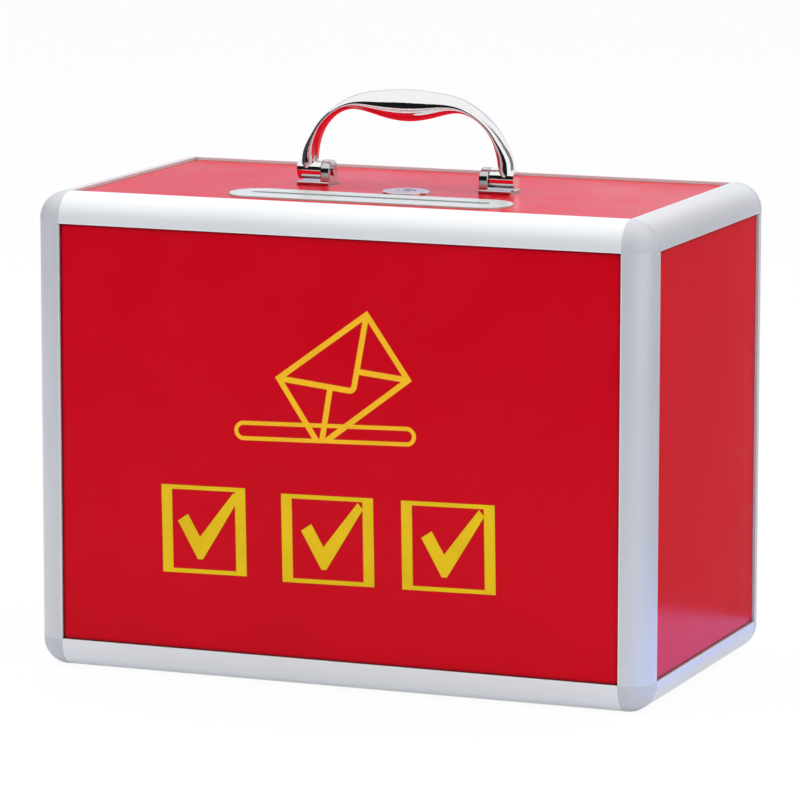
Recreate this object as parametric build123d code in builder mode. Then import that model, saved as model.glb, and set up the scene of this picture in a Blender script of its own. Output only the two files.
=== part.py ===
"""Ballot box: red laminate panels held in rounded aluminium rails, with a drop handle on the top,
a voting slot that a keyed shutter closes from inside, and a locked door in the back.

Millimetres, +Z up. The origin is the middle of the box on the surface that it stands on, and the front
faces -Y. Everything is drawn at rest: handle upright, slot open, door shut and its lock turned open.
"""
import os
from math import atan2, cos, radians, sin, tan

from build123d import *

os.makedirs("parts", exist_ok=True)

# Overall size
box_width = 360.0
box_depth = 204.0
box_height = 266.0

# Laminate panels
panel_thickness = 3.0
panel_recess = 1.6
panel_insert = 4.2
panel_clearance = 0.2
panel_edge_clearance = 0.3

# Edge rails, rounded on the outside, with a lip over each panel and a closed tube behind
rail_band = 16.5
rail_lip = 1.6
rail_wall = 1.0

# Corner connectors, whose legs plug into the rails' tubes
plug_length = 18.0
plug_clearance = 0.15

# Voting slot and its plate on the top
slot_front_inset = 52.5
slot_length = 140.0
slot_width = 6.0
slot_plate_length = 165.0
slot_plate_width = 34.0
slot_plate_thickness = 1.2
slot_plate_round = 0.6
slot_collar_wall = 0.8
slot_collar_clearance = 0.2

# Cam locks, one for the slot's shutter and one for the door
slot_lock_x = 8.0
slot_lock_setback = 33.0
lock_rim_radius = 13.0
lock_rim_thickness = 1.5
lock_rim_round = 0.5
lock_barrel_radius = 7.0
lock_barrel_length = 12.0
lock_hole_clearance = 0.2
lock_nut_flats = 18.0
lock_nut_thickness = 2.5
plug_radius = 5.0
plug_head_radius = 6.0
plug_head_thickness = 1.0
plug_sink = 0.2
plug_running_clearance = 0.05
keyway_length = 6.0
keyway_width = 1.6
keyway_depth = 5.0
shank_side = 5.0
shank_clearance = 0.05
stud_radius = 2.0
stud_spare = 0.6
cam_thickness = 1.5
cam_width = 9.0
cam_gap = 0.2
cam_nut_flats = 7.0
cam_nut_thickness = 2.2
turn_angle = 90.0

# Shutter under the slot, driven by a pin on the slot lock's cam
cam_pin_reach = 12.0
cam_pin_radius = 1.5
cam_pin_play = 0.6
cam_pin_spare = 0.6
shutter_overlap_length = 3.0
shutter_overlap_width = 2.5
shutter_thickness = 1.2
shutter_gap = 0.3
shutter_corner = 2.0
tongue_margin = 1.9
guide_wall = 1.0
guide_lip = 4.0
guide_flange = 10.0
guide_end = 1.0

# Drop handle: brackets, pins, screws and the grip
handle_y = 6.5
bracket_inner_x = 44.5
bracket_length = 19.5
bracket_depth = 15.0
bracket_base_thickness = 1.8
bracket_corner = 1.0
bracket_round = 0.5
bracket_bevel = 45.0
ear_thickness = 5.5
ear_radius = 6.8
ear_height = 13.8
ear_round = 0.8
pivot_height = 8.0
pivot_gap = 0.3
eye_radius = 5.5
handle_pin_radius = 2.0
handle_pin_clearance = 0.05
handle_pin_head_radius = 3.2
handle_pin_head_thickness = 1.0
handle_pin_end = 3.0
grip_half_span = 59.5
grip_rise = 38.1
grip_thickness = 17.8
grip_width = 22.0
backing_thickness = 1.5
screw_radius = 2.0
screw_clearance = 0.2
screw_head_radius = 3.6
screw_head_thickness = 2.4
screw_ear_depth = 4.6
screw_base_depth = 1.4
screw_outer_inset = 4.0

# Rear door, its hinge, rivets and stop frame
door_side_margin = 70.0
door_level_margin = 53.0
door_gap = 1.0
door_corner = 2.0
door_lap = 6.0
door_frame_bar = 14.0
door_frame_thickness = 1.5
door_lock_inset = 18.0
door_cam_bend_start = 7.6
door_cam_bend_end = 11.5
door_cam_reach = 22.0
door_cam_gap = 0.3
door_cam_hub = 4.5
door_cam_round = 2.0
hinge_end_inset = 10.0
hinge_knuckles = 7
hinge_knuckle_radius = 2.0
hinge_running_gap = 0.3
hinge_plate_thickness = 0.8
hinge_plate_width = 12.0
hinge_pin_radius = 0.9
hinge_pin_clearance = 0.05
hinge_pin_head_radius = 1.6
hinge_pin_head_thickness = 0.8
rivet_radius = 1.25
rivet_clearance = 0.1
rivet_head_radius = 2.2
rivet_head_thickness = 0.7
rivet_tail_thickness = 1.2
rivet_count = 4
rivet_end_inset = 13.0

# How far cuts run past the faces that they open
cut_overrun = 1.0

# Places on the top that follow its front edge
slot_y = slot_front_inset - box_depth / 2
slot_lock_y = slot_y + slot_lock_setback

# Where the panels' outer faces are
middle = box_height / 2
face_x = box_width / 2 - panel_recess
face_y = box_depth / 2 - panel_recess
face_top = box_height - panel_recess
top_face = Plane(origin=(0, 0, face_top), x_dir=(1, 0, 0), z_dir=(0, 0, 1))
bottom_face = Plane(origin=(0, 0, panel_recess), x_dir=(1, 0, 0), z_dir=(0, 0, -1))
front_face = Plane(origin=(0, -face_y, middle), x_dir=(1, 0, 0), z_dir=(0, -1, 0))
back_face = Plane(origin=(0, face_y, middle), x_dir=(-1, 0, 0), z_dir=(0, 1, 0))
right_face = Plane(origin=(face_x, 0, middle), x_dir=(0, 1, 0), z_dir=(1, 0, 0))
left_face = Plane(origin=(-face_x, 0, middle), x_dir=(0, -1, 0), z_dir=(-1, 0, 0))

# The rail's section, measured inwards from its two outer faces
rail_round = rail_band - rail_lip
panel_edge = rail_band - panel_insert
web_far = panel_edge - panel_edge_clearance
web_near = web_far - rail_wall
flange_near = panel_recess + panel_thickness + panel_clearance
flange_far = flange_near + rail_wall
plug_far = web_near - plug_clearance
plug_round = rail_round - rail_wall - plug_clearance
corner_min = (Align.MIN, Align.MIN)
section_diagonal = Plane(origin=(0, 0, 0), x_dir=(1, 1, 0), z_dir=(1, -1, 0))


def keep(piece, label):
    """Names a finished piece and writes its file."""
    piece.part.label = label
    export_step(piece.part, f"parts/{label}.step")


def patch(low_x, low_y, high_x, high_y):
    """Adds a rectangle between two corners to the open sketch."""
    with Locations(((low_x + high_x) / 2, (low_y + high_y) / 2)):
        Rectangle(high_x - low_x, high_y - low_y)


def side_plane(face, x, y):
    """The plane through a face's normal at a point of it, for turned outlines: radius, then height."""
    return Plane(
        origin=face.from_local_coords((x, y, 0)),
        x_dir=face.x_dir,
        z_dir=face.x_dir.cross(face.z_dir),
    )


# Rails: twelve lengths of one extrusion

def make_rail(label, origin, inward, across, length):
    """A rail along the edge at origin, whose panels lie in the directions inward and across."""
    edge_plane = Plane(origin=origin, x_dir=inward, z_dir=inward.cross(across))
    with BuildPart() as rail:
        with BuildSketch(edge_plane) as section:
            Rectangle(rail_band, rail_band, align=corner_min)
            fillet(section.vertices().sort_by_distance((0, 0, 0))[0], rail_round)
            with Locations((rail_round, rail_round)):
                Circle(rail_round - rail_wall, mode=Mode.SUBTRACT)
            patch(0, rail_round, panel_recess, rail_band)
            patch(rail_wall, web_near, web_far, web_far)
            patch(flange_near, web_near, flange_far, rail_band)
            mirror(about=section_diagonal)
        extrude(amount=length / 2, both=True)
    keep(rail, label)


signs_x = {"left": -1, "right": 1}
signs_y = {"front": -1, "back": 1}
signs_z = {"bottom": -1, "top": 1}
run_x = box_width - 2 * rail_band
run_y = box_depth - 2 * rail_band
run_z = box_height - 2 * rail_band

for side_y, y in signs_y.items():
    for level, z in signs_z.items():
        edge = (0, y * box_depth / 2, middle + z * box_height / 2)
        make_rail(f"rail_{side_y}_{level}", edge, Vector(0, -y, 0), Vector(0, 0, -z), run_x)

for side_x, x in signs_x.items():
    for level, z in signs_z.items():
        edge = (x * box_width / 2, 0, middle + z * box_height / 2)
        make_rail(f"rail_{side_x}_{level}", edge, Vector(-x, 0, 0), Vector(0, 0, -z), run_y)

for side_x, x in signs_x.items():
    for side_y, y in signs_y.items():
        edge = (x * box_width / 2, y * box_depth / 2, middle)
        make_rail(f"post_{side_y}_{side_x}", edge, Vector(-x, 0, 0), Vector(0, -y, 0), run_z)


# Corner connectors: a ball corner with pockets for the three panels and three legs

def make_corner(label, x, y, z):
    """The connector at the corner whose directions from the middle are the signs x, y and z."""
    tip = Vector(x * box_width / 2, y * box_depth / 2, middle + z * box_height / 2)
    inwards = (Vector(-x, 0, 0), Vector(0, -y, 0), Vector(0, 0, -z))

    def inside(distances):
        return tip + sum((way * step for way, step in zip(inwards, distances)), Vector(0, 0, 0))

    with BuildPart() as corner:
        with Locations(inside((rail_band / 2,) * 3)):
            Box(rail_band, rail_band, rail_band)
        fillet(corner.edges().sort_by_distance(tip)[:3], rail_round)
        for side in range(3):
            low = [web_far] * 3
            low[side] = panel_recess
            size = [rail_band + cut_overrun - start for start in low]
            with Locations(inside([start + span / 2 for start, span in zip(low, size)])):
                Box(*size, mode=Mode.SUBTRACT)
        for side in range(3):
            first = inwards[(side + 1) % 3]
            second = inwards[(side + 2) % 3]
            root = tip + inwards[side] * rail_band
            with BuildSketch(Plane(origin=root, x_dir=first, z_dir=first.cross(second))):
                Rectangle(plug_far, plug_far, align=corner_min)
                with Locations((rail_round, rail_round)):
                    Circle(plug_round, mode=Mode.INTERSECT)
            extrude(amount=-x * y * z * plug_length)
    keep(corner, label)


for side_x, x in signs_x.items():
    for side_y, y in signs_y.items():
        for level, z in signs_z.items():
            make_corner(f"corner_{side_y}_{side_x}_{level}", x, y, z)


# Plain panels
panel_width = box_width - 2 * panel_edge
panel_depth = box_depth - 2 * panel_edge
panel_height = box_height - 2 * panel_edge


def make_panel(label, face, width, height):
    """A panel whose outer face lies on a plane."""
    with BuildPart() as panel:
        with BuildSketch(face):
            Rectangle(width, height)
        extrude(amount=-panel_thickness)
    keep(panel, label)


make_panel("panel_front", front_face, panel_width, panel_height)
make_panel("panel_left", left_face, panel_depth, panel_height)
make_panel("panel_right", right_face, panel_depth, panel_height)
make_panel("panel_bottom", bottom_face, panel_width, panel_depth)

# Top panel, cut for the slot's collar, the lock and the bracket screws
collar_length = slot_length + 2 * slot_collar_wall
collar_width = slot_width + 2 * slot_collar_wall
bracket_middle_x = bracket_inner_x + bracket_length / 2
screw_inner_x = bracket_inner_x + ear_thickness / 2
screw_outer_x = bracket_inner_x + bracket_length - screw_outer_inset
screw_places = [(x * reach, handle_y) for x in signs_x.values() for reach in (screw_inner_x, screw_outer_x)]

with BuildPart() as panel_top:
    with BuildSketch(top_face):
        Rectangle(panel_width, panel_depth)
        with Locations((0, slot_y)):
            SlotOverall(
                collar_length + 2 * slot_collar_clearance,
                collar_width + 2 * slot_collar_clearance,
                mode=Mode.SUBTRACT,
            )
        with Locations((slot_lock_x, slot_lock_y)):
            Circle(lock_barrel_radius + lock_hole_clearance, mode=Mode.SUBTRACT)
        with Locations(screw_places):
            Circle(screw_radius + screw_clearance, mode=Mode.SUBTRACT)
    extrude(amount=-panel_thickness)
keep(panel_top, "panel_top")

# Slot plate: a pressed plate whose collar lines the cut in the panel
with BuildPart() as slot_plate:
    with BuildSketch(top_face):
        with Locations((0, slot_y)):
            SlotOverall(slot_plate_length, slot_plate_width)
    extrude(amount=slot_plate_thickness)
    fillet(slot_plate.faces().sort_by(Axis.Z)[-1].edges(), slot_plate_round)
    with BuildSketch(top_face):
        with Locations((0, slot_y)):
            SlotOverall(collar_length, collar_width)
    extrude(amount=-panel_thickness)
    with BuildSketch(top_face.offset(slot_plate_thickness)):
        with Locations((0, slot_y)):
            SlotOverall(slot_length, slot_width)
    extrude(amount=-slot_plate_thickness - panel_thickness, mode=Mode.SUBTRACT)
keep(slot_plate, "slot_plate")


# Cam locks: body, nut, turning plug, and the nut that holds the cam
cam_face_depth = lock_barrel_length + cam_gap
cam_back_depth = cam_face_depth + cam_thickness
stud_end_depth = cam_back_depth + cam_nut_thickness + stud_spare
plug_top = lock_rim_thickness - plug_sink
plug_bore_radius = plug_radius + plug_running_clearance
plug_head_bore_radius = plug_head_radius + plug_running_clearance
plug_head_floor = plug_top - plug_head_thickness


def make_lock(prefix, face, x, y):
    """The pieces of one lock, square to a panel's face at x and y on it."""
    side = side_plane(face, x, y)
    axis = Axis(side.origin, face.z_dir)

    with BuildPart() as body:
        with BuildSketch(side) as outline:
            with BuildLine():
                Polyline(
                    (plug_bore_radius, -lock_barrel_length),
                    (lock_barrel_radius, -lock_barrel_length),
                    (lock_barrel_radius, 0),
                    (lock_rim_radius, 0),
                    (lock_rim_radius, lock_rim_thickness),
                    (plug_head_bore_radius, lock_rim_thickness),
                    (plug_head_bore_radius, plug_head_floor - plug_running_clearance),
                    (plug_bore_radius, plug_head_floor - plug_running_clearance),
                    close=True,
                )
            make_face()
            rim_corner = outline.vertices().sort_by_distance((lock_rim_radius, lock_rim_thickness))[0]
            fillet(rim_corner, lock_rim_round)
        revolve(axis=axis)
    keep(body, f"{prefix}_lock_body")

    with BuildPart() as nut:
        with BuildSketch(face.offset(-panel_thickness)):
            with Locations((x, y)):
                RegularPolygon(lock_nut_flats / 2, 6, major_radius=False)
                Circle(lock_barrel_radius + shank_clearance, mode=Mode.SUBTRACT)
        extrude(amount=-lock_nut_thickness)
    keep(nut, f"{prefix}_lock_nut")

    with BuildPart() as plug:
        with BuildSketch(side):
            with BuildLine():
                Polyline(
                    (0, plug_top),
                    (plug_head_radius, plug_top),
                    (plug_head_radius, plug_head_floor),
                    (plug_radius, plug_head_floor),
                    (plug_radius, -cam_face_depth),
                    (stud_radius, -cam_face_depth),
                    (stud_radius, -stud_end_depth),
                    (0, -stud_end_depth),
                    close=True,
                )
            make_face()
        revolve(axis=axis)
        with BuildSketch(face.offset(-cam_face_depth)):
            with Locations((x, y)):
                Rectangle(shank_side, shank_side)
        extrude(amount=-cam_thickness)
        with BuildSketch(face.offset(plug_top)):
            with Locations((x, y)):
                SlotOverall(keyway_length, keyway_width)
        extrude(amount=-keyway_depth, mode=Mode.SUBTRACT)
    keep(plug, f"{prefix}_lock_plug")

    with BuildPart() as cam_nut:
        with BuildSketch(face.offset(-cam_back_depth)):
            with Locations((x, y)):
                RegularPolygon(cam_nut_flats / 2, 6, major_radius=False)
                Circle(stud_radius + shank_clearance, mode=Mode.SUBTRACT)
        extrude(amount=-cam_nut_thickness)
    keep(cam_nut, f"{prefix}_lock_cam_nut")


make_lock("slot", top_face, slot_lock_x, slot_lock_y)

# Slot lock's cam: at rest its arm points half a turn angle behind the sideways direction
half_turn = radians(turn_angle / 2)
pin_side = cam_pin_reach * cos(half_turn)
pin_back = cam_pin_reach * sin(half_turn)
tongue_top_depth = cam_back_depth + shutter_gap
tongue_bottom_depth = tongue_top_depth + shutter_thickness

with BuildPart() as slot_cam:
    with BuildSketch(top_face.offset(-cam_face_depth)):
        with Locations((slot_lock_x + pin_side / 2, slot_lock_y + pin_back / 2)):
            SlotCenterToCenter(cam_pin_reach, cam_width, rotation=turn_angle / 2)
        with Locations((slot_lock_x, slot_lock_y)):
            Rectangle(shank_side + 2 * shank_clearance, shank_side + 2 * shank_clearance, mode=Mode.SUBTRACT)
    extrude(amount=-cam_thickness)
    with BuildSketch(top_face.offset(-cam_back_depth)):
        with Locations((slot_lock_x + pin_side, slot_lock_y + pin_back)):
            Circle(cam_pin_radius)
    extrude(amount=cam_back_depth - tongue_bottom_depth - cam_pin_spare)
keep(slot_cam, "slot_lock_cam")

# Shutter: a blade that covers the slot, a web down from it and a tongue with a cross slot for the cam's pin
shutter_travel = 2 * pin_back
blade_length = slot_length + 2 * shutter_overlap_length
blade_width = slot_width + 2 * shutter_overlap_width
blade_y = slot_y + shutter_travel
blade_back_y = blade_y + blade_width / 2
blade_top_depth = panel_thickness + shutter_gap
pin_slot_width = 2 * (cam_pin_radius + cam_pin_play)
pin_slot_length = cam_pin_reach - pin_side + pin_slot_width
pin_slot_x = slot_lock_x + (cam_pin_reach + pin_side) / 2
tongue_width = pin_slot_length + 2 * tongue_margin
tongue_back_y = slot_lock_y + pin_back + pin_slot_width / 2 + tongue_margin
tongue_plane = Plane(origin=(pin_slot_x, 0, face_top), x_dir=(0, 1, 0), z_dir=(1, 0, 0))

with BuildPart() as shutter:
    with BuildSketch(top_face.offset(-blade_top_depth)):
        with Locations((0, blade_y)):
            RectangleRounded(blade_length, blade_width, shutter_corner)
    extrude(amount=-shutter_thickness)
    with BuildSketch(tongue_plane):
        patch(blade_back_y - shutter_thickness, -tongue_bottom_depth, blade_back_y, -blade_top_depth)
        patch(blade_back_y - shutter_thickness, -tongue_bottom_depth, tongue_back_y, -tongue_top_depth)
    extrude(amount=tongue_width / 2, both=True)
    with BuildSketch(top_face.offset(-tongue_top_depth)):
        with Locations((pin_slot_x, slot_lock_y + pin_back)):
            SlotOverall(pin_slot_length, pin_slot_width)
    extrude(amount=-shutter_thickness, mode=Mode.SUBTRACT)
keep(shutter, "slot_shutter")

# Shutter guides: bent strips under the top panel that carry the blade's ends
guide_wall_x = blade_length / 2 + shutter_gap
guide_lip_depth = blade_top_depth + shutter_thickness + shutter_gap
guide_front_y = slot_y - blade_width / 2 - guide_end
guide_back_y = blade_back_y + guide_end


def make_guide(label, x):
    """The guide on one side, drawn as its section and run from front to back."""
    section_plane = Plane(origin=(0, guide_front_y, face_top), x_dir=(x, 0, 0), z_dir=(0, -x, 0))
    with BuildPart() as guide:
        with BuildSketch(section_plane):
            patch(
                guide_wall_x,
                -panel_thickness - guide_wall,
                guide_wall_x + guide_flange,
                -panel_thickness,
            )
            patch(guide_wall_x, -guide_lip_depth - guide_wall, guide_wall_x + guide_wall, -panel_thickness)
            patch(
                guide_wall_x - guide_lip,
                -guide_lip_depth - guide_wall,
                guide_wall_x + guide_wall,
                -guide_lip_depth,
            )
        extrude(amount=x * (guide_front_y - guide_back_y))
    keep(guide, label)


for side_x, x in signs_x.items():
    make_guide(f"shutter_guide_{side_x}", x)


# Handle brackets, pins and the plates that back them inside
pivot_z = face_top + pivot_height
ear_spring = ear_height - ear_radius - pivot_height
ear_outer_x = bracket_inner_x + ear_thickness
eye_inner_x = ear_outer_x + pivot_gap
handle_pin_tip_x = grip_half_span + handle_pin_end


def pivot_plane(x):
    """The plane across the pivot axis at x, with its first direction to the back."""
    return Plane(origin=(x, handle_y, pivot_z), x_dir=(0, 1, 0), z_dir=(1, 0, 0))


def make_bracket(label, x):
    """A base plate with a bevelled rim and one round-topped ear on its inner end."""
    with BuildPart() as bracket:
        with BuildSketch(pivot_plane(x * bracket_inner_x)):
            with BuildLine():
                Polyline(
                    (-ear_radius, ear_spring),
                    (-ear_radius, -pivot_height),
                    (ear_radius, -pivot_height),
                    (ear_radius, ear_spring),
                )
                ThreePointArc(
                    (-ear_radius, ear_spring),
                    (0, ear_spring + ear_radius),
                    (ear_radius, ear_spring),
                )
            make_face()
        extrude(amount=x * ear_thickness)
        ear_edges = bracket.faces().filter_by(Axis.X).edges()
        fillet(ear_edges.sort_by(Axis.Z)[2:], ear_round)
        with BuildSketch(top_face):
            with Locations((x * bracket_middle_x, handle_y)):
                RectangleRounded(bracket_length, bracket_depth, bracket_corner)
        extrude(amount=bracket_base_thickness - bracket_round)
        with BuildSketch(top_face.offset(bracket_base_thickness - bracket_round)):
            with Locations((x * bracket_middle_x, handle_y)):
                RectangleRounded(bracket_length, bracket_depth, bracket_corner)
        extrude(amount=bracket_round, taper=bracket_bevel)
        with BuildSketch(pivot_plane(x * bracket_inner_x)):
            Circle(handle_pin_radius + handle_pin_clearance)
        extrude(amount=x * ear_thickness, mode=Mode.SUBTRACT)
        with BuildSketch(top_face):
            with Locations((x * screw_inner_x, handle_y)):
                Circle(screw_radius + handle_pin_clearance)
        extrude(amount=screw_ear_depth, mode=Mode.SUBTRACT)
        with BuildSketch(top_face):
            with Locations((x * screw_outer_x, handle_y)):
                Circle(screw_radius + handle_pin_clearance)
        extrude(amount=screw_base_depth, mode=Mode.SUBTRACT)
    keep(bracket, label)


def make_handle_pin(label, x):
    """A headed pin through the ear into the grip's eye."""
    with BuildPart() as pin:
        with BuildSketch(pivot_plane(x * bracket_inner_x)):
            Circle(handle_pin_head_radius)
        extrude(amount=-x * handle_pin_head_thickness)
        with BuildSketch(pivot_plane(x * bracket_inner_x)):
            Circle(handle_pin_radius)
        extrude(amount=x * (handle_pin_tip_x - bracket_inner_x))
    keep(pin, label)


def make_backing_plate(label, x):
    """The steel plate under the top panel that spreads the handle's pull."""
    with BuildPart() as plate:
        with BuildSketch(top_face.offset(-panel_thickness)):
            with Locations((x * bracket_middle_x, handle_y)):
                RectangleRounded(bracket_length, bracket_depth, bracket_corner)
            with Locations((x * screw_inner_x, handle_y), (x * screw_outer_x, handle_y)):
                Circle(screw_radius + screw_clearance, mode=Mode.SUBTRACT)
        extrude(amount=-backing_thickness)
    keep(plate, label)


for side_x, x in signs_x.items():
    make_bracket(f"handle_bracket_{side_x}", x)
    make_handle_pin(f"handle_pin_{side_x}", x)
    make_backing_plate(f"handle_backing_plate_{side_x}", x)

# Bracket screws: driven from inside, two to a bracket
screw_seat = -panel_thickness - backing_thickness

with BuildPart() as bracket_screws:
    for place in screw_places:
        depth = screw_ear_depth if abs(place[0]) == screw_inner_x else screw_base_depth
        side = side_plane(top_face, *place)
        with BuildSketch(side):
            with BuildLine():
                Polyline(
                    (0, screw_seat - screw_head_thickness),
                    (screw_head_radius, screw_seat - screw_head_thickness),
                    (screw_head_radius, screw_seat),
                    (screw_radius, screw_seat),
                    (screw_radius, depth),
                    (0, depth),
                    close=True,
                )
            make_face()
        revolve(axis=Axis(side.origin, top_face.z_dir))
keep(bracket_screws, "bracket_screws")

# Grip: lofted through sections from one eye over the crown to the other. Each row gives, from an eye to
# the crown, where the section's middle is as shares of half the span and of the rise, the slope of the
# path there in degrees, and its thickness and width as shares of the crown's.
grip_shares = (
    (1.000, 0.000, 95, 0.562, 0.482),
    (0.984, 0.180, 99, 0.528, 0.490),
    (0.960, 0.341, 106, 0.472, 0.509),
    (0.918, 0.499, 115, 0.360, 0.564),
    (0.868, 0.643, 127, 0.292, 0.618),
    (0.726, 0.869, 143, 0.264, 0.691),
    (0.557, 1.000, 160, 0.410, 0.800),
    (0.412, 1.026, 171, 0.618, 0.891),
    (0.257, 1.013, 177, 0.820, 0.955),
    (0.000, 1.000, 180, 1.000, 1.000),
)

with BuildPart() as grip:
    right_half = [(1, row) for row in grip_shares]
    left_half = [(-1, row) for row in reversed(grip_shares[:-1])]
    for x, (span_share, rise_share, slope, thickness_share, width_share) in right_half + left_half:
        centre = (x * span_share * grip_half_span, handle_y, pivot_z + rise_share * grip_rise)
        path_direction = Vector(cos(radians(slope)), 0, x * sin(radians(slope)))
        thickness = thickness_share * grip_thickness
        width = width_share * grip_width
        with BuildSketch(Plane(origin=centre, x_dir=(0, 1, 0), z_dir=path_direction)):
            Ellipse(width / 2, thickness / 2)
    loft()
    eye_outer_x = grip_half_span + grip_shares[0][3] * grip_thickness / 2
    for x in signs_x.values():
        with BuildSketch(pivot_plane(x * eye_inner_x)):
            Circle(eye_radius)
        extrude(amount=x * (eye_outer_x - eye_inner_x))
        with BuildSketch(pivot_plane(x * eye_inner_x)):
            Circle(handle_pin_radius + handle_pin_clearance)
        extrude(amount=x * (handle_pin_tip_x + pivot_gap - eye_inner_x), mode=Mode.SUBTRACT)
keep(grip, "handle_grip")


# Rear door: places on the back face, whose first direction runs to the left of the box
door_width = box_width - 2 * door_side_margin
door_height = box_height - 2 * door_level_margin
hinge_length = door_height - 2 * hinge_end_inset
hinge_gap = hinge_knuckle_radius + hinge_running_gap
hinge_x = -door_width / 2 - hinge_gap
opening_hinge_x = hinge_x - hinge_gap
opening_free_x = door_width / 2 + door_gap
opening_height = door_height + 2 * door_gap
door_lock_x = door_width / 2 - door_lock_inset
rivet_inset = hinge_gap + hinge_plate_width / 2
case_rivet_x = hinge_x - rivet_inset
door_rivet_x = hinge_x + rivet_inset
rivet_pitch = (hinge_length - 2 * rivet_end_inset) / (rivet_count - 1)
rivet_heights = [(step - (rivet_count - 1) / 2) * rivet_pitch for step in range(rivet_count)]
case_rivet_places = [(case_rivet_x, height) for height in rivet_heights]
door_rivet_places = [(door_rivet_x, height) for height in rivet_heights]

with BuildPart() as panel_back:
    with BuildSketch(back_face):
        Rectangle(panel_width, panel_height)
        with Locations(((opening_hinge_x + opening_free_x) / 2, 0)):
            Rectangle(opening_free_x - opening_hinge_x, opening_height, mode=Mode.SUBTRACT)
        with Locations(case_rivet_places):
            Circle(rivet_radius + rivet_clearance, mode=Mode.SUBTRACT)
    extrude(amount=-panel_thickness)
keep(panel_back, "panel_back")

# Stop frame behind the opening: the door shuts against its three lapping sides
frame_hinge_x = opening_hinge_x - door_frame_bar
frame_free_x = opening_free_x + door_frame_bar
frame_inner_free_x = opening_free_x - door_gap - door_lap

with BuildPart() as door_frame:
    with BuildSketch(back_face.offset(-panel_thickness)):
        with Locations(((frame_hinge_x + frame_free_x) / 2, 0)):
            Rectangle(frame_free_x - frame_hinge_x, opening_height + 2 * door_frame_bar)
        with Locations(((opening_hinge_x + frame_inner_free_x) / 2, 0)):
            Rectangle(
                frame_inner_free_x - opening_hinge_x,
                door_height - 2 * door_lap,
                mode=Mode.SUBTRACT,
            )
        with Locations(case_rivet_places):
            Circle(rivet_radius + rivet_clearance, mode=Mode.SUBTRACT)
    extrude(amount=-door_frame_thickness)
keep(door_frame, "door_stop_frame")

with BuildPart() as door_panel:
    with BuildSketch(back_face):
        RectangleRounded(door_width, door_height, door_corner)
        with Locations((door_lock_x, 0)):
            Circle(lock_barrel_radius + lock_hole_clearance, mode=Mode.SUBTRACT)
        with Locations(door_rivet_places):
            Circle(rivet_radius + rivet_clearance, mode=Mode.SUBTRACT)
    extrude(amount=-panel_thickness)
keep(door_panel, "door_panel")

# Hinge: two plates with knuckles that take turns along one pin, flush with the rails' outer face
hinge_lift = panel_recess - hinge_knuckle_radius
hinge_base = Plane(
    origin=(-hinge_x, face_y + hinge_lift, middle - hinge_length / 2), x_dir=(1, 0, 0), z_dir=(0, 0, 1)
)
knuckle_pitch = (hinge_length + hinge_running_gap) / hinge_knuckles
plate_back = -hinge_lift
plate_front = plate_back + hinge_plate_thickness


def make_hinge_leaf(label, side, first_knuckle, places):
    """A hinge leaf on the case's side, 1, or the door's side, -1, of the pin."""
    near = min(side * hinge_gap, side * (hinge_gap + hinge_plate_width))
    web = min(0, side * hinge_gap)
    with BuildPart() as leaf:
        with BuildSketch(hinge_base):
            patch(near, plate_back, near + hinge_plate_width, plate_front)
        extrude(amount=hinge_length)
        for knuckle in range(first_knuckle, hinge_knuckles, 2):
            with BuildSketch(hinge_base.offset(knuckle * knuckle_pitch)):
                Circle(hinge_knuckle_radius)
                patch(web, plate_back, web + hinge_gap, plate_front)
            extrude(amount=knuckle_pitch - hinge_running_gap)
        with BuildSketch(hinge_base):
            Circle(hinge_pin_radius + hinge_pin_clearance)
        extrude(amount=hinge_length, mode=Mode.SUBTRACT)
        with BuildSketch(back_face):
            with Locations(places):
                Circle(rivet_radius + rivet_clearance)
        extrude(amount=hinge_plate_thickness, mode=Mode.SUBTRACT)
    keep(leaf, label)


make_hinge_leaf("hinge_leaf_case", 1, 0, case_rivet_places)
make_hinge_leaf("hinge_leaf_door", -1, 1, door_rivet_places)

with BuildPart() as hinge_pin:
    with BuildSketch(hinge_base):
        Circle(hinge_pin_radius)
    extrude(amount=hinge_length)
    with BuildSketch(hinge_base, hinge_base.offset(hinge_length + hinge_pin_head_thickness)):
        Circle(hinge_pin_head_radius)
    extrude(amount=-hinge_pin_head_thickness)
keep(hinge_pin, "hinge_pin")


def make_rivets(label, places, backing):
    """Rivets through a hinge leaf, a panel and what lies behind it."""
    tail = -panel_thickness - backing
    with BuildPart() as rivets:
        for spot in places:
            side = side_plane(back_face, *spot)
            with BuildSketch(side):
                with BuildLine():
                    head_top = (0, hinge_plate_thickness + rivet_head_thickness)
                    rim = (rivet_head_radius, hinge_plate_thickness)
                    Polyline(
                        head_top,
                        (0, tail - rivet_tail_thickness),
                        (rivet_head_radius, tail - rivet_tail_thickness),
                        (rivet_head_radius, tail),
                        (rivet_radius, tail),
                        (rivet_radius, hinge_plate_thickness),
                        rim,
                    )
                    TangentArc(head_top, rim, tangent=(1, 0))
                make_face()
            revolve(axis=Axis(side.origin, back_face.z_dir))
    keep(rivets, label)


make_rivets("hinge_rivets_case", case_rivet_places, door_frame_thickness)
make_rivets("hinge_rivets_door", door_rivet_places, 0)

# Door lock and its bent cam, which reaches behind the stop frame when it is turned
make_lock("door", back_face, door_lock_x, 0)
tip_depth = panel_thickness + door_frame_thickness + door_cam_gap
bend_slope = atan2(cam_face_depth - tip_depth, door_cam_bend_end - door_cam_bend_start)
bend_shift = cam_thickness * tan(bend_slope / 2)
lock_centre = back_face.from_local_coords((door_lock_x, 0, 0))
door_cam_plane = Plane(origin=lock_centre, x_dir=(0, 0, -1), z_dir=(1, 0, 0))

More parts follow.
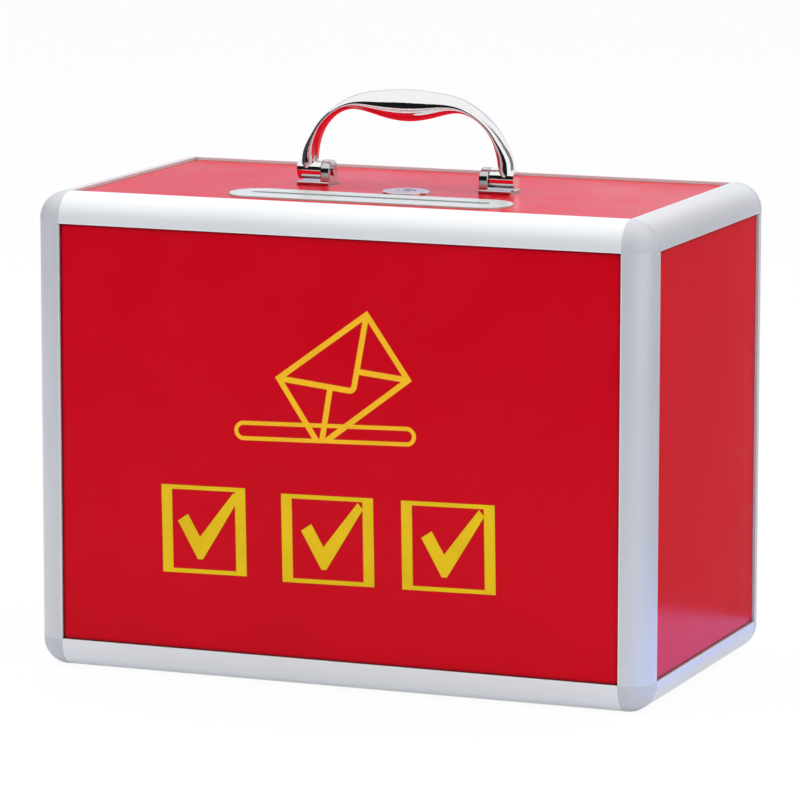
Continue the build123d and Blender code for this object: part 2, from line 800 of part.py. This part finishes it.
with BuildPart() as door_cam:
    with BuildSketch(door_cam_plane):
        with BuildLine():
            Polyline(
                (-door_cam_hub, -cam_face_depth),
                (door_cam_bend_start, -cam_face_depth),
                (door_cam_bend_end, -tip_depth),
                (door_cam_reach, -tip_depth),
                (door_cam_reach, -tip_depth - cam_thickness),
                (door_cam_bend_end + bend_shift, -tip_depth - cam_thickness),
                (door_cam_bend_start + bend_shift, -cam_back_depth),
                (-door_cam_hub, -cam_back_depth),
                close=True,
            )
        make_face()
    extrude(amount=cam_width / 2, both=True)
    tip_edges = door_cam.edges().filter_by(Axis.Y).sort_by(Axis.Z)
    fillet(tip_edges[:2] + tip_edges[-2:], door_cam_round)
    with BuildSketch(back_face.offset(-cam_face_depth)):
        with Locations((door_lock_x, 0)):
            Rectangle(shank_side + 2 * shank_clearance, shank_side + 2 * shank_clearance)
    extrude(amount=-cam_thickness, mode=Mode.SUBTRACT)
keep(door_cam, "door_lock_cam")

# What the moving parts' travel comes to
print(f"shutter travel {shutter_travel:.3f} mm, {shutter_travel / radians(turn_angle):.4f} mm per radian")
print(f"handle pivot height {pivot_z:.2f} mm, hinge axis x {-hinge_x:.2f} y {face_y + hinge_lift:.2f} mm")
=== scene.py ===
"""Looks of the ballot box: red laminate in satin aluminium rails, a chrome drop handle and yellow print."""
import math

import bmesh
import bpy
from mathutils import Matrix, Vector


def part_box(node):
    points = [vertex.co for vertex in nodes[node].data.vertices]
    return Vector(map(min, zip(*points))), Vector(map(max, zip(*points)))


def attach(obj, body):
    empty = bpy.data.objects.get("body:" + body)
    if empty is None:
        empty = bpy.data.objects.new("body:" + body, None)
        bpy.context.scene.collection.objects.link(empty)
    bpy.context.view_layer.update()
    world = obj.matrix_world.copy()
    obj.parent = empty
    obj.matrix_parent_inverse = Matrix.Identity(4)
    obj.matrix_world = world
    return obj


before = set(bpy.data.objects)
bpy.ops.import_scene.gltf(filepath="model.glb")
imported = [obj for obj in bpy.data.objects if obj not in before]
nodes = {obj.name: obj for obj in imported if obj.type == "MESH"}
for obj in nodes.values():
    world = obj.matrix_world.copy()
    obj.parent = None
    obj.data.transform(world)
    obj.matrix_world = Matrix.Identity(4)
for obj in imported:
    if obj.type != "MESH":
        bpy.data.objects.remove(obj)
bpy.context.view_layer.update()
scene = bpy.context.scene
MM = 0.001

# Camera: the photograph's angle and framing, from its measured edges
CAMERA_PLACE = (1.05951, -2.68397, 0.62080)
AZIMUTH = math.radians(21.5766)
ELEVATION = math.radians(9.3488)
ROLL = math.radians(0.0637)
FOCAL_LENGTH = 235.34
SENSOR_WIDTH = 36.0
FARTHEST_SEEN = 50.0

camera_data = bpy.data.cameras.new("camera")
camera_data.lens = FOCAL_LENGTH
camera_data.sensor_width = SENSOR_WIDTH
camera_data.clip_end = FARTHEST_SEEN
camera = bpy.data.objects.new("camera", camera_data)
scene.collection.objects.link(camera)
scene.camera = camera
level = math.cos(ELEVATION)
back = Vector((math.sin(AZIMUTH) * level, -math.cos(AZIMUTH) * level, math.sin(ELEVATION)))
aim = (-back).to_track_quat("-Z", "Y").to_matrix() @ Matrix.Rotation(ROLL, 3, "Z")
camera.location = CAMERA_PLACE
camera.rotation_euler = aim.to_euler()


# Materials
RED = (0.525, 0.0006, 0.009)
AMBER = (0.82, 0.43, 0.012)
LEMON = (0.70, 0.46, 0.005)
# Colour of the painted highlight along the rails' lips
LIP_HIGHLIGHT = (0.84, 0.84, 0.86)
EVEN = (1, 1, 1)
# The rails by the axis that they run along: colour, share of metal in the satin finish, and grain;
# the colour is one metal in lighter and darker copies by axis, lightest along x, as painted reflection
SILVER_LIT_BY_AXIS = {"x": (0.69, 0.70, 0.705), "y": (0.60, 0.61, 0.63), "z": (0.57, 0.58, 0.60)}
SATIN = {"x": 0.18, "y": 0.35, "z": 0.35}
GRAIN = {"x": (0.01, 1, 1), "y": (1, 0.01, 1), "z": (1, 1, 0.01)}
# Reach of the painted shade where another face stands close
CREVICE_SHADE_REACH = 0.003
# Width of the painted highlight along the lips
LIP_HIGHLIGHT_REACH = 0.0016
# Sockets of a Mix node that mixes colours
MIX_FIRST, MIX_SECOND, MIX_RESULT = 6, 7, 2


class Paint:
    """A node material under construction."""

    def __init__(self, name):
        self.material = bpy.data.materials.new(name)
        self.material.use_nodes = True
        self.tree = self.material.node_tree
        self.shader = self.tree.nodes["Principled BSDF"]

    def node(self, kind, **values):
        """A new node: each value goes to the input of that name, or else to the node's setting."""
        made = self.tree.nodes.new(kind)
        for key, value in values.items():
            if key in made.inputs:
                made.inputs[key].default_value = value
            else:
                setattr(made, key, value)
        return made

    def join(self, source, output, target, socket):
        self.tree.links.new(source.outputs[output], target.inputs[socket])

    def set(self, **values):
        """Values on the shader's own sockets."""
        for key, value in values.items():
            self.shader.inputs[key.replace("_", " ")].default_value = value

    def noise(self, scale, detail=3.0, roughness=0.5, stretch=EVEN):
        """Noise in object coordinates, drawn out along an axis where its stretch is small."""
        where = self.node("ShaderNodeTexCoord")
        mapping = self.node("ShaderNodeMapping")
        mapping.inputs["Scale"].default_value = stretch
        self.join(where, "Object", mapping, "Vector")
        made = self.node("ShaderNodeTexNoise", Scale=scale, Detail=detail, Roughness=roughness)
        self.join(mapping, "Vector", made, "Vector")
        return made

    def ramp(self, source, output, first, last, stops=(0.3, 0.7)):
        """One value up to the first stop, another from the second, and a run between."""
        made = self.node("ShaderNodeValToRGB")
        for element, position, value in zip(made.color_ramp.elements, stops, (first, last)):
            element.position = position
            element.color = (*value, 1) if isinstance(value, tuple) else (value, value, value, 1)
        self.join(source, output, made, "Fac")
        return made

    def bump(self, source, output, strength, distance):
        made = self.node("ShaderNodeBump", Strength=strength, Distance=distance)
        self.join(source, output, made, "Height")
        self.join(made, "Normal", self.shader, "Normal")

    def painted_crevice_shade(self, colour):
        """The base colour with painted shade: nearly black where another face stands close."""
        occlusion = self.node("ShaderNodeAmbientOcclusion", Distance=CREVICE_SHADE_REACH)
        shade_line = self.ramp(occlusion, "AO", 0.02, 1.0, stops=(0.55, 0.92))
        shaded = self.node("ShaderNodeMix", data_type="RGBA", blend_type="MULTIPLY")
        shaded.inputs["Factor"].default_value = 1.0
        self.join(colour, "Color", shaded, MIX_FIRST)
        self.join(shade_line, "Color", shaded, MIX_SECOND)
        self.join(shaded, MIX_RESULT, self.shader, "Base Color")

    def painted_lip_highlights(self, colour, tone, along):
        """The base colour with a painted highlight, lighter along the edges that run with one axis."""
        rounded = self.node("ShaderNodeBevel", samples=8, Radius=LIP_HIGHLIGHT_REACH)
        flat = self.node("ShaderNodeNewGeometry")
        facing = self.node("ShaderNodeVectorMath", operation="DOT_PRODUCT")
        self.join(rounded, "Normal", facing, 0)
        self.join(flat, "Normal", facing, 1)
        edge = self.ramp(facing, "Value", 1.0, 0.0, stops=(0.85, 0.995))
        parts = self.node("ShaderNodeSeparateXYZ")
        self.join(rounded, "Normal", parts, "Vector")
        endwise = self.node("ShaderNodeMath", operation="ABSOLUTE")
        self.join(parts, along.upper(), endwise, 0)
        sideways = self.ramp(endwise, "Value", 1.0, 0.0, stops=(0.1, 0.3))
        share = self.node("ShaderNodeMath", operation="MULTIPLY")
        self.join(edge, "Color", share, 0)
        self.join(sideways, "Color", share, 1)
        mixed = self.node("ShaderNodeMix", data_type="RGBA")
        self.join(share, "Value", mixed, "Factor")
        self.join(colour, "Color", mixed, MIX_FIRST)
        mixed.inputs[MIX_SECOND].default_value = (*tone, 1)
        self.join(mixed, MIX_RESULT, self.shader, "Base Color")


def shades(colour, spread):
    """A darker and a lighter tone of a colour, with no channel above 1."""
    return [tuple(min(1, channel * factor) for channel in colour) for factor in (1 - spread, 1 + spread)]


def laminate(name, colour):
    """Smooth pressed laminate: soft clouds, a faint orange peel, and a painted shade line where it enters a
    rail.
    """
    paint = Paint(name)
    paint.set(IOR=1.5, Specular_IOR_Level=0.06)
    clouds = paint.noise(scale=9, detail=4)
    paint.painted_crevice_shade(paint.ramp(clouds, "Fac", *shades(colour, 0.03)))
    smudges = paint.noise(scale=28, detail=6, roughness=0.6)
    gloss = paint.ramp(smudges, "Fac", 0.16, 0.27, stops=(0.35, 0.75))
    paint.join(gloss, "Color", paint.shader, "Roughness")
    peel = paint.noise(scale=420, detail=2)
    paint.bump(peel, "Fac", strength=0.05, distance=0.0002)
    return paint.material


def metal(name, colour, rough, stretch, grain=0.12, spread=0.03, metallic=1.0, along=None):
    """Metal with fine lines, and with painted highlights on the lips where the axis that it runs along is
    given.
    """
    paint = Paint(name)
    paint.set(Metallic=metallic)
    tone = paint.noise(scale=14, detail=4)
    base = paint.ramp(tone, "Fac", *shades(colour, spread))
    if along:
        paint.painted_lip_highlights(base, LIP_HIGHLIGHT, along)
    else:
        paint.join(base, "Color", paint.shader, "Base Color")
    lines = paint.noise(scale=900, detail=3, roughness=0.6, stretch=stretch)
    paint.join(paint.ramp(lines, "Fac", *rough), "Color", paint.shader, "Roughness")
    paint.bump(lines, "Fac", strength=grain, distance=0.00005)
    return paint.material


def vinyl(name, colour):
    """Cut vinyl print: nearly matt, with a slight unevenness of tone."""
    paint = Paint(name)
    paint.set(Specular_IOR_Level=0.1)
    patches = paint.noise(scale=40, detail=4)
    paint.join(paint.ramp(patches, "Fac", *shades(colour, 0.06)), "Color", paint.shader, "Base Color")
    grain = paint.noise(scale=300, detail=3)
    paint.join(paint.ramp(grain, "Fac", 0.42, 0.55), "Color", paint.shader, "Roughness")
    return paint.material


red = laminate("red_laminate", RED)
rails = {
    axis: metal(
        f"rail_along_{axis}",
        SILVER_LIT_BY_AXIS[axis],
        rough=(0.36, 0.44),
        stretch=GRAIN[axis],
        grain=0.01,
        spread=0.02,
        metallic=SATIN[axis],
        along=axis,
    )
    for axis in "xyz"
}
corner = metal(
    "corner_silver", (0.50, 0.505, 0.53), rough=(0.5, 0.6), stretch=(0.5, 0.5, 0.5), grain=0.15, metallic=0.2
)
plate = metal(
    "slot_plate_satin",
    (0.60, 0.65, 0.635),
    rough=(0.28, 0.36),
    stretch=(0.02, 1, 1),
    grain=0.05,
    spread=0.02,
    metallic=0.4,
)
chrome = metal(
    "chrome", (0.88, 0.88, 0.89), rough=(0.03, 0.07), stretch=(0.2, 0.2, 0.2), grain=0.02, spread=0.01
)
# The brackets: the grip's chrome in a darker colour, as painted shade
bracket = metal("bracket_chrome", (0.60, 0.59, 0.61), rough=(0.08, 0.14), stretch=(0.2, 0.2, 0.2), grain=0.04)
lock_chrome = metal(
    "lock_chrome", (0.80, 0.80, 0.80), rough=(0.10, 0.18), stretch=(0.3, 0.3, 0.3), grain=0.04, spread=0.02
)
rivet = metal("rivet_aluminium", (0.78, 0.78, 0.80), rough=(0.28, 0.36), stretch=(0.4, 0.4, 0.4))
zinc = metal(
    "zinc_steel", (0.66, 0.68, 0.70), rough=(0.25, 0.42), stretch=(0.15, 0.15, 0.15), grain=0.1, spread=0.08
)
amber = vinyl("amber_vinyl", AMBER)
lemon = vinyl("lemon_vinyl", LEMON)


def coat_of(name):
    """The material of a solid, from its name, and for a rail from its longest side."""
    if name.startswith("panel_") or name == "door_panel":
        return red
    if name.startswith(("rail_", "post_")):
        low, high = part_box(name)
        spans = high - low
        return rails["xyz"[max(range(3), key=lambda axis: spans[axis])]]
    if name.startswith("corner_"):
        return corner
    if name == "slot_plate":
        return plate
    if name == "handle_grip":
        return chrome
    if name.startswith(("handle_bracket", "handle_pin")):
        return bracket
    if "_lock_body" in name or "_lock_plug" in name:
        return lock_chrome
    if name.startswith("hinge_rivets"):
        return rivet
    return zinc


for name, node in nodes.items():
    node.data.materials.clear()
    node.data.materials.append(coat_of(name))


# Print on the front panel: places are millimetres along x and z on its face
PRINT_THICKNESS = 0.12
STROKE_STEP = 0.004
WELD_REACH = 0.001
ENVELOPE_STROKE = 3.2
FLAP_ROUND = 3.0
SLOT_MARK_LENGTH, SLOT_MARK_HEIGHT = 104.2, 8.5
SLOT_MARK_STROKE = 2.3
SLOT_MARK_TILT = 1.6
MARK_HEIGHT = 49.0
MARK_TILT = 1.0
UPRIGHT, LEVEL = 6.2, 2.4
front_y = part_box("panel_front")[0].y / MM


def mesh_object(name, points, faces):
    data = bpy.data.meshes.new(name)
    data.from_pydata(points, [], faces)
    made = bpy.data.objects.new(name, data)
    scene.collection.objects.link(made)
    return made


def turned(points, centre, angle):
    """Points about the origin, turned and moved to a centre."""
    cosine, sine = math.cos(math.radians(angle)), math.sin(math.radians(angle))
    return [(centre[0] + x * cosine - z * sine, centre[1] + x * sine + z * cosine) for x, z in points]


def arc(centre, radius, start, end, steps=12):
    """Points along an arc between two angles in degrees."""
    angles = [math.radians(start + (end - start) * step / steps) for step in range(steps + 1)]
    return [(centre[0] + radius * math.cos(a), centre[1] + radius * math.sin(a)) for a in angles]


def blunted(before, corner_point, after, radius, steps=6):
    """A corner between two straight runs, rounded by a curve."""
    middle = Vector(corner_point)
    start = middle + (Vector(before) - middle).normalized() * radius
    end = middle + (Vector(after) - middle).normalized() * radius
    shares = [step / steps for step in range(steps + 1)]
    return [start * (1 - t) ** 2 + middle * 2 * t * (1 - t) + end * t**2 for t in shares]


def stroke(points, width, closed=False):
    """Quads along a line of even width with mitred corners."""
    path = [Vector(point) for point in points]
    count = len(path)
    sides = []
    for index, point in enumerate(path):
        before = path[index - 1] if closed or index else None
        after = path[(index + 1) % count] if closed or index < count - 1 else None
        ways = [(point - before).normalized()] if before else []
        ways += [(after - point).normalized()] if after else []
        normals = [Vector((-way.y, way.x)) for way in ways]
        mitre = sum(normals, Vector((0, 0))).normalized()
        reach = width / 2 / mitre.dot(normals[0])
        sides.append((point + mitre * reach, point - mitre * reach))
    quads = []
    for index in range(count if closed else count - 1):
        (left, right), (next_left, next_right) = sides[index], sides[(index + 1) % count]
        quads.append([left, next_left, next_right, right])
    return quads


def bar(low_x, low_z, high_x, high_z):
    """One upright rectangle."""
    return [[(low_x, low_z), (high_x, low_z), (high_x, high_z), (low_x, high_z)]]


def lay_print(name, shapes, coat):
    """Flat shapes, each a list of polygons, set on the front panel as thin raised vinyl."""
    mesh = bmesh.new()
    for index, polygons in enumerate(shapes):
        lift = (PRINT_THICKNESS + index * STROKE_STEP) * MM
        faces = []
        for polygon in polygons:
            corners = [mesh.verts.new((x * MM, front_y * MM, z * MM)) for x, z in polygon]
            faces.append(mesh.faces.new(corners))
        laid = list({vertex for face in faces for vertex in face.verts})
        bmesh.ops.remove_doubles(mesh, verts=laid, dist=WELD_REACH * MM)
        faces = [face for face in mesh.faces if face.is_valid and not face.tag]
        raised = bmesh.ops.extrude_face_region(mesh, geom=faces)["geom"]
        outer = [item for item in raised if isinstance(item, bmesh.types.BMVert)]
        bmesh.ops.translate(mesh, vec=(0, -lift, 0), verts=outer)
        for face in mesh.faces:
            face.tag = True
    bmesh.ops.recalc_face_normals(mesh, faces=mesh.faces)
    # Sorted points and faces, because the extrusion gives them in another order each run
    order = sorted(mesh.verts, key=lambda vertex: tuple(vertex.co))
    numbers = {vertex: number for number, vertex in enumerate(order)}
    rings = []
    for face in mesh.faces:
        ring = [numbers[vertex] for vertex in face.verts]
        first = ring.index(min(ring))
        rings.append(ring[first:] + ring[:first])
    made = mesh_object(name, [tuple(vertex.co) for vertex in order], sorted(rings))
    mesh.free()
    made.data.materials.append(coat)
    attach(made, "case")


# The envelope that drops into a slot
envelope_top, envelope_left, envelope_right = (18.4, 208.6), (-33.0, 171.1), (42.5, 174.4)
left_foot, middle_foot, right_foot = (-11.1, 138.4), (-7.6, 138.4), (-4.8, 138.5)
flap_tip, flap_side, flap_under = (10.7, 166.4), (12.8, 177.4), (-2.8, 167.4)
slot_mark_centre = (-6.1, 142.3)
flap = [envelope_top, *blunted(envelope_top, flap_tip, envelope_left, FLAP_ROUND), envelope_left]
half_run = (SLOT_MARK_LENGTH - SLOT_MARK_HEIGHT) / 2
end_radius = SLOT_MARK_HEIGHT / 2
slot_mark = arc((half_run, 0), end_radius, -90, 90) + arc((-half_run, 0), end_radius, 90, 270)
lay_print(
    "print_envelope",
    [
        stroke([left_foot, envelope_left, envelope_top, envelope_right, right_foot], ENVELOPE_STROKE),
        stroke(flap, ENVELOPE_STROKE),
        stroke([envelope_right, flap_side], ENVELOPE_STROKE),
        stroke([flap_under, middle_foot], ENVELOPE_STROKE),
        stroke(turned(slot_mark, slot_mark_centre, SLOT_MARK_TILT), SLOT_MARK_STROKE, closed=True),
    ],
    amber,
)

# Three ticked boxes, in place of lettering: the middle of each and its width
TICK = ((-15.5, 4.5), (-9.5, 8.5), (-2.5, -4.0), (18.0, 21.5), (21.0, 18.0), (-1.0, -16.5), (-4.0, -16.5))
mark_places = {"left": (-77.7, 84.0, 50.0), "middle": (-4.4, 83.5, 54.0), "right": (65.9, 84.5, 54.0)}
for side, (x, z, width) in mark_places.items():
    reach, rise = width / 2, MARK_HEIGHT / 2
    shapes = [
        bar(-reach, -rise, -reach + UPRIGHT, rise),
        bar(reach - UPRIGHT, -rise, reach, rise),
        bar(-reach, rise - LEVEL, reach, rise),
        bar(-reach, -rise, reach, -rise + LEVEL),
        [TICK],
    ]
    placed = [[turned(polygon, (x, z), MARK_TILT) for polygon in shape] for shape in shapes]
    lay_print(f"print_tick_box_{side}", placed, lemon)


# Floor and backdrop: white to the camera and in mirrors, pale paper and pale sky to all other rays
FLOOR_REACH = 8.0
FLOOR_TONES = ((0.80, 0.84, 0.92), (0.82, 0.86, 0.94))
SHOWN_SHARE = 0.94
SKY_COLOUR = (0.97, 0.98, 1.0, 1)
SKY_STRENGTH = 0.66
WHITE = (1, 1, 1, 1)


def shown_rays(paint):
    """1 for rays from the camera, a mirror or glass, and 0 for all others."""
    path = paint.node("ShaderNodeLightPath")
    total = (path, "Is Camera Ray")
    for ray in ("Is Glossy Ray", "Is Transmission Ray"):
        larger = paint.node("ShaderNodeMath", operation="MAXIMUM")
        paint.join(*total, larger, 0)
        paint.join(path, ray, larger, 1)
        total = (larger, "Value")
    return total


floor_corners = [(-FLOOR_REACH, -FLOOR_REACH), (FLOOR_REACH, -FLOOR_REACH)]
floor_corners += [(FLOOR_REACH, FLOOR_REACH), (-FLOOR_REACH, FLOOR_REACH)]
floor = mesh_object("floor", [(x, y, 0) for x, y in floor_corners], [(0, 1, 2, 3)])
floor_paint = Paint("floor_paper")
floor_paint.set(Roughness=0.7, Specular_IOR_Level=0.1)
fibres = floor_paint.noise(scale=60, detail=4)
paper = floor_paint.ramp(fibres, "Fac", *FLOOR_TONES)
floor_paint.join(paper, "Color", floor_paint.shader, "Base Color")
glow = floor_paint.node("ShaderNodeEmission", Color=WHITE, Strength=1.0)
share = floor_paint.node("ShaderNodeMath", operation="MULTIPLY")
floor_paint.join(*shown_rays(floor_paint), share, 0)
share.inputs[1].default_value = SHOWN_SHARE
blend = floor_paint.node("ShaderNodeMixShader")
floor_paint.join(share, "Value", blend, "Fac")
floor_paint.join(floor_paint.shader, "BSDF", blend, 1)
floor_paint.join(glow, "Emission", blend, 2)
floor_paint.join(blend, "Shader", floor_paint.tree.nodes["Material Output"], "Surface")
floor.data.materials.append(floor_paint.material)


class WorldPaint(Paint):
    """The world's nodes, with the same helpers."""

    def __init__(self, world):
        world.use_nodes = True
        self.tree = world.node_tree


world = bpy.data.worlds.new("studio")
scene.world = world
sky_paint = WorldPaint(world)
sky = world.node_tree.nodes["Background"]
sky.inputs["Color"].default_value = SKY_COLOUR
sky.inputs["Strength"].default_value = SKY_STRENGTH
backdrop = sky_paint.node("ShaderNodeBackground", Color=WHITE, Strength=1.0)
chosen = sky_paint.node("ShaderNodeMixShader")
sky_paint.join(*shown_rays(sky_paint), chosen, "Fac")
sky_paint.join(sky, "Background", chosen, 1)
sky_paint.join(backdrop, "Background", chosen, 2)
sky_paint.join(chosen, "Shader", world.node_tree.nodes["World Output"], "Surface")


# Studio cards, which only glossy surfaces see: the dim room and the pale floor round a white sweep
CARD_LIFT = 0.002
CORNER_Y = 0.162
BACK_Y, BACK_LOW, BACK_HIGH = 2.5, 0.25, 1.2
BLACK = (0.01, 0.01, 0.01)


def card(name, points, tone, strength=1.0):
    """A glowing card with four corners."""
    made = mesh_object(name, points, [(0, 1, 2, 3)])
    paint = Paint(f"{name}_paper")
    weave = paint.ramp(paint.noise(scale=5, detail=2), "Fac", *shades(tone, 0.1))
    light = paint.node("ShaderNodeEmission", Strength=strength)
    paint.join(weave, "Color", light, "Color")
    paint.join(light, "Emission", paint.tree.nodes["Material Output"], "Surface")
    made.data.materials.append(paint.material)
    made.visible_camera = made.visible_diffuse = made.visible_shadow = made.visible_transmission = False


def floor_card(name, left, right, front, back, tone, strength=1.0):
    """Flat, just over the floor."""
    outline = [(left, front), (right, front), (right, back), (left, back)]
    card(name, [(*point, CARD_LIFT) for point in outline], tone, strength)


def wall_card(name, start, end, top, tone):
    """Upright over a line on the floor."""
    card(name, [(*start, CARD_LIFT), (*end, CARD_LIFT), (*end, top), (*start, top)], tone)


def back_card(name, left, right, tone):
    """Upright behind the box, where the top panel mirrors it to the camera."""
    outline = [(left, BACK_LOW), (right, BACK_LOW), (right, BACK_HIGH), (left, BACK_HIGH)]
    card(name, [(x, BACK_Y, z) for x, z in outline], tone)


floor_card("near_floor_card", left=-2.6, right=0.45, front=-0.9, back=-0.25, tone=(1.0, 1.06, 1.15))
floor_card(
    "side_floor_card", left=0.19, right=0.45, front=-0.2, back=CORNER_Y, tone=(0.33, 0.44, 1.0), strength=1.95
)
floor_card("mid_floor_card", left=-2.6, right=0.45, front=-1.2, back=-0.9, tone=(0.32, 0.26, 0.29))
floor_card("far_floor_card", left=-2.6, right=1.8, front=-2.2, back=-1.2, tone=BLACK)
floor_card("right_floor_card", left=0.45, right=1.6, front=-0.5, back=1.0, tone=(0.16, 0.16, 0.18))
wall_card("front_card", start=(-2.6, -2.2), end=(1.8, -2.2), top=1.9, tone=BLACK)
wall_card("corner_card", start=(0.2, CORNER_Y), end=(0.9, CORNER_Y), top=0.6, tone=(0.24, 0.23, 0.24))
wall_card("left_card", start=(-1.8, -1.6), end=(-1.8, 1.2), top=1.2, tone=(0.05, 0.05, 0.05))
wall_card("right_card", start=(1.6, 0.1), end=(1.6, 1.4), top=1.2, tone=(0.1, 0.1, 0.1))
back_card("back_left_card", left=-2.2, right=-0.78, tone=(0.60, 0.55, 0.69))
back_card("back_right_card", left=-0.78, right=0.2, tone=(0.62, 0.66, 0.78))


# Lamps: three large soft boxes that glossy surfaces don't show
def softbox(name, place, target, size, power):
    data = bpy.data.lights.new(name, "AREA")
    data.shape = "RECTANGLE"
    data.size, data.size_y = size
    data.energy = power
    made = bpy.data.objects.new(name, data)
    scene.collection.objects.link(made)
    made.location = place
    made.rotation_euler = (Vector(target) - Vector(place)).to_track_quat("-Z", "Y").to_euler()
    made.visible_glossy = False


BOX_MIDDLE = (0, 0, 0.13)
softbox("top_light", place=(0.2, 0.2, 1.8), target=(0.2, 0.2, 0), size=(3.6, 2.4), power=52)
softbox("front_light", place=(-1.2, -2.2, 1.2), target=BOX_MIDDLE, size=(2.2, 1.8), power=8.5)
softbox("side_light", place=(2.2, -0.5, 0.8), target=BOX_MIDDLE, size=(1.2, 1.2), power=4.1)

scene.view_settings.view_transform = "Standard"
